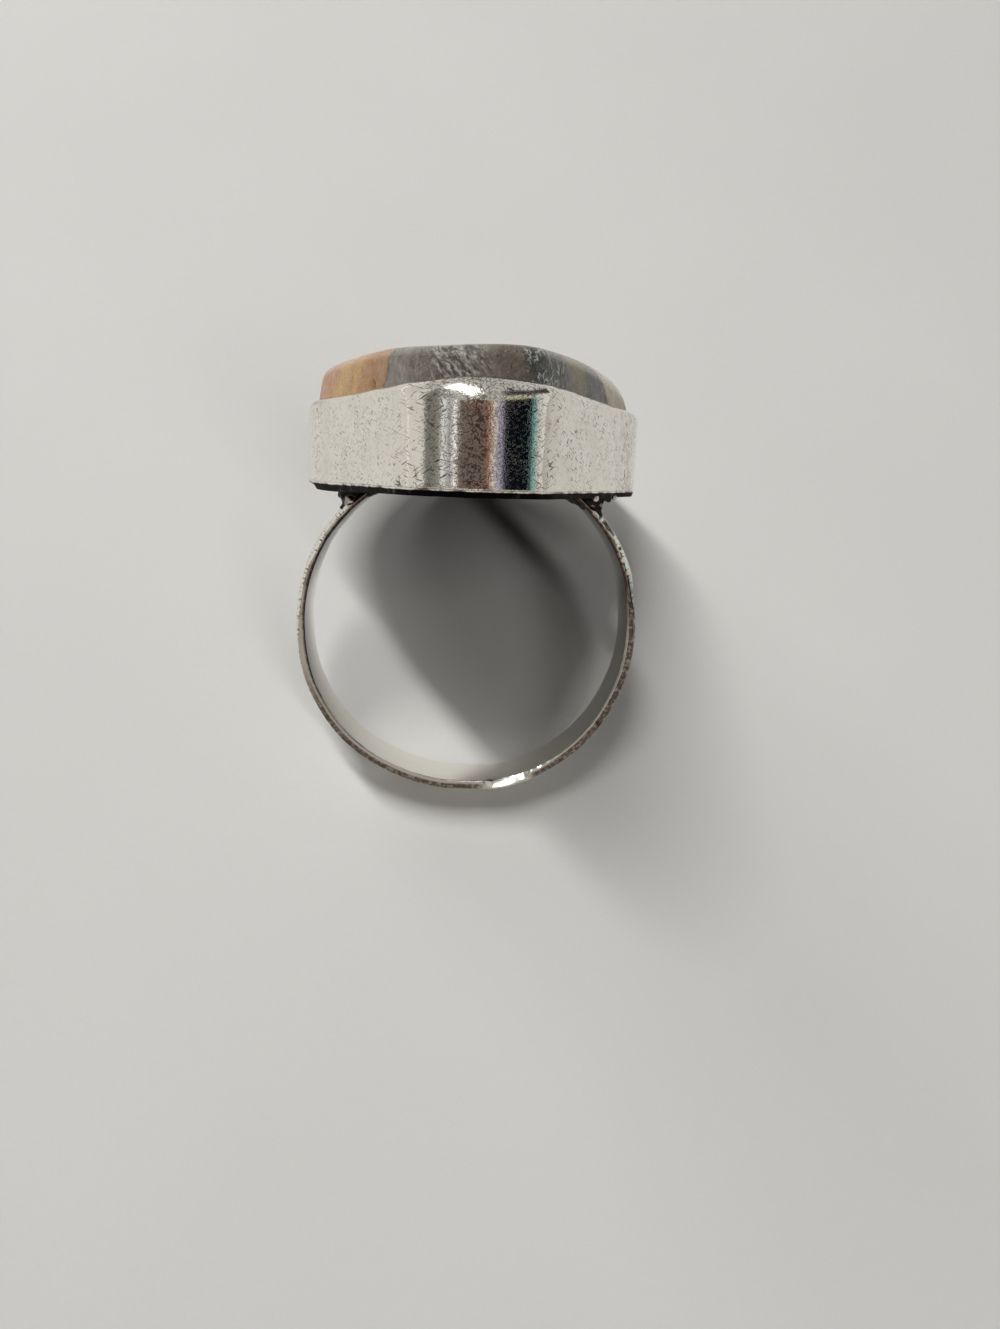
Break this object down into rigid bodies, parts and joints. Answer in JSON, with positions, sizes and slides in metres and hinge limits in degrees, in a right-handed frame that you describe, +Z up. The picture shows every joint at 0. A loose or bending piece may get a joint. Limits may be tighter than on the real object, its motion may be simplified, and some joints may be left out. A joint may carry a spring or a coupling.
{
  "type": "statement ring",
  "caption": "Finger ring with a tall plain silver bezel on a thin flat band, holding one large pear-shaped polished stone.",
  "frame": {"origin": "middle of the floor under the ring as it rests on its side: centre of the bounding box across and front to back, at its lowest point", "axes": "+Z up, +X across the finger hole, +Y from the band towards the stone. The finger hole's axis leans back 37 degrees from +Z towards -Y, because the ring rests on the band's edge and on the corner under the bezel's round end"},
  "size_m": [0.0206, 0.0294, 0.0276],
  "materials": {
    "silver": "satin",
    "stone": "polished"
  },
  "bodies": {
    "root": {"setting": "silver", "stone": "stone"}
  },
  "joints": []
}
